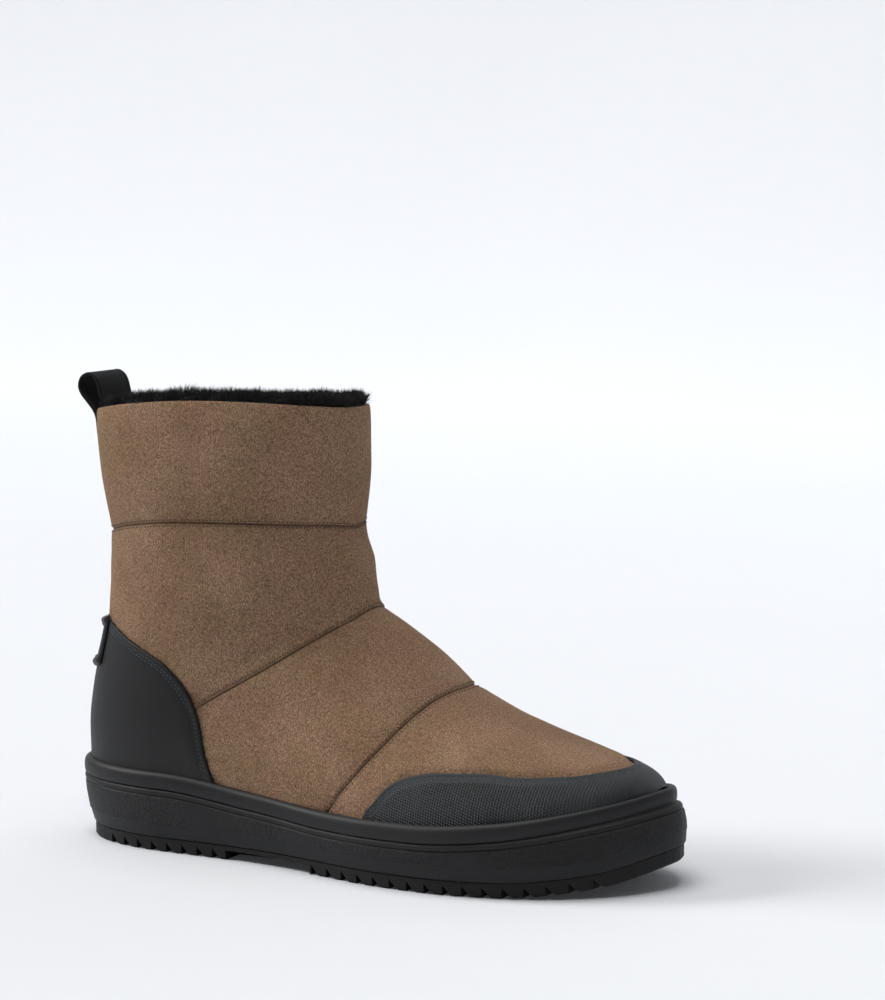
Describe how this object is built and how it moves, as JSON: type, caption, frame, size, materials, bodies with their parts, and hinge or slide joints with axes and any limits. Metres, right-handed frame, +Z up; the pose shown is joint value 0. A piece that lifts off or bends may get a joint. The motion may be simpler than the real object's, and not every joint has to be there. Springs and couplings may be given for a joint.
{
  "type": "sheepskin ankle boot",
  "caption": "Padded suede ankle boot for the right foot, with a fur lining, black toe cap and heel counter, a toothed rubber cup sole, a heel pull loop and an inner side zip.",
  "frame": {"origin": "on the floor, under the middle of the boot's own box", "axes": "+X from heel to toe, +Y towards the inner (medial) side, +Z up"},
  "size_m": [0.3048, 0.109, 0.2218],
  "materials": {
    "suede": "napped suede",
    "cap_leather": "embossed, semi matt",
    "counter_leather": "smooth, matt",
    "tab_rubber": "moulded, matt",
    "welt_rubber": "moulded, matt",
    "midsole_rubber": "moulded, stippled",
    "outsole_rubber": "moulded, matt",
    "fur": "shearling pile",
    "loop_tape": "grosgrain tape",
    "zip_tape": "woven zip tape",
    "zip_metal": "satin"
  },
  "bodies": {
    "root": {"upper": "suede", "toe_cap": "cap_leather", "heel_counter": "counter_leather", "heel_tab": "tab_rubber", "welt": "welt_rubber", "midsole": "midsole_rubber", "outsole": "outsole_rubber", "insole": "fur", "pull_loop": "loop_tape", "zip": "zip_tape", "zip_slider": "zip_metal"},
    "zip_pull_body": {"zip_pull": "zip_metal"}
  },
  "joints": [
    {"name": "zip_pull_swing", "type": "hinge", "parent": "root", "child": "zip_pull_body", "pos_m": [-0.07356, 0.04876, 0.199], "axis": [1, 0, 0], "range_deg": [0, 150]}
  ]
}
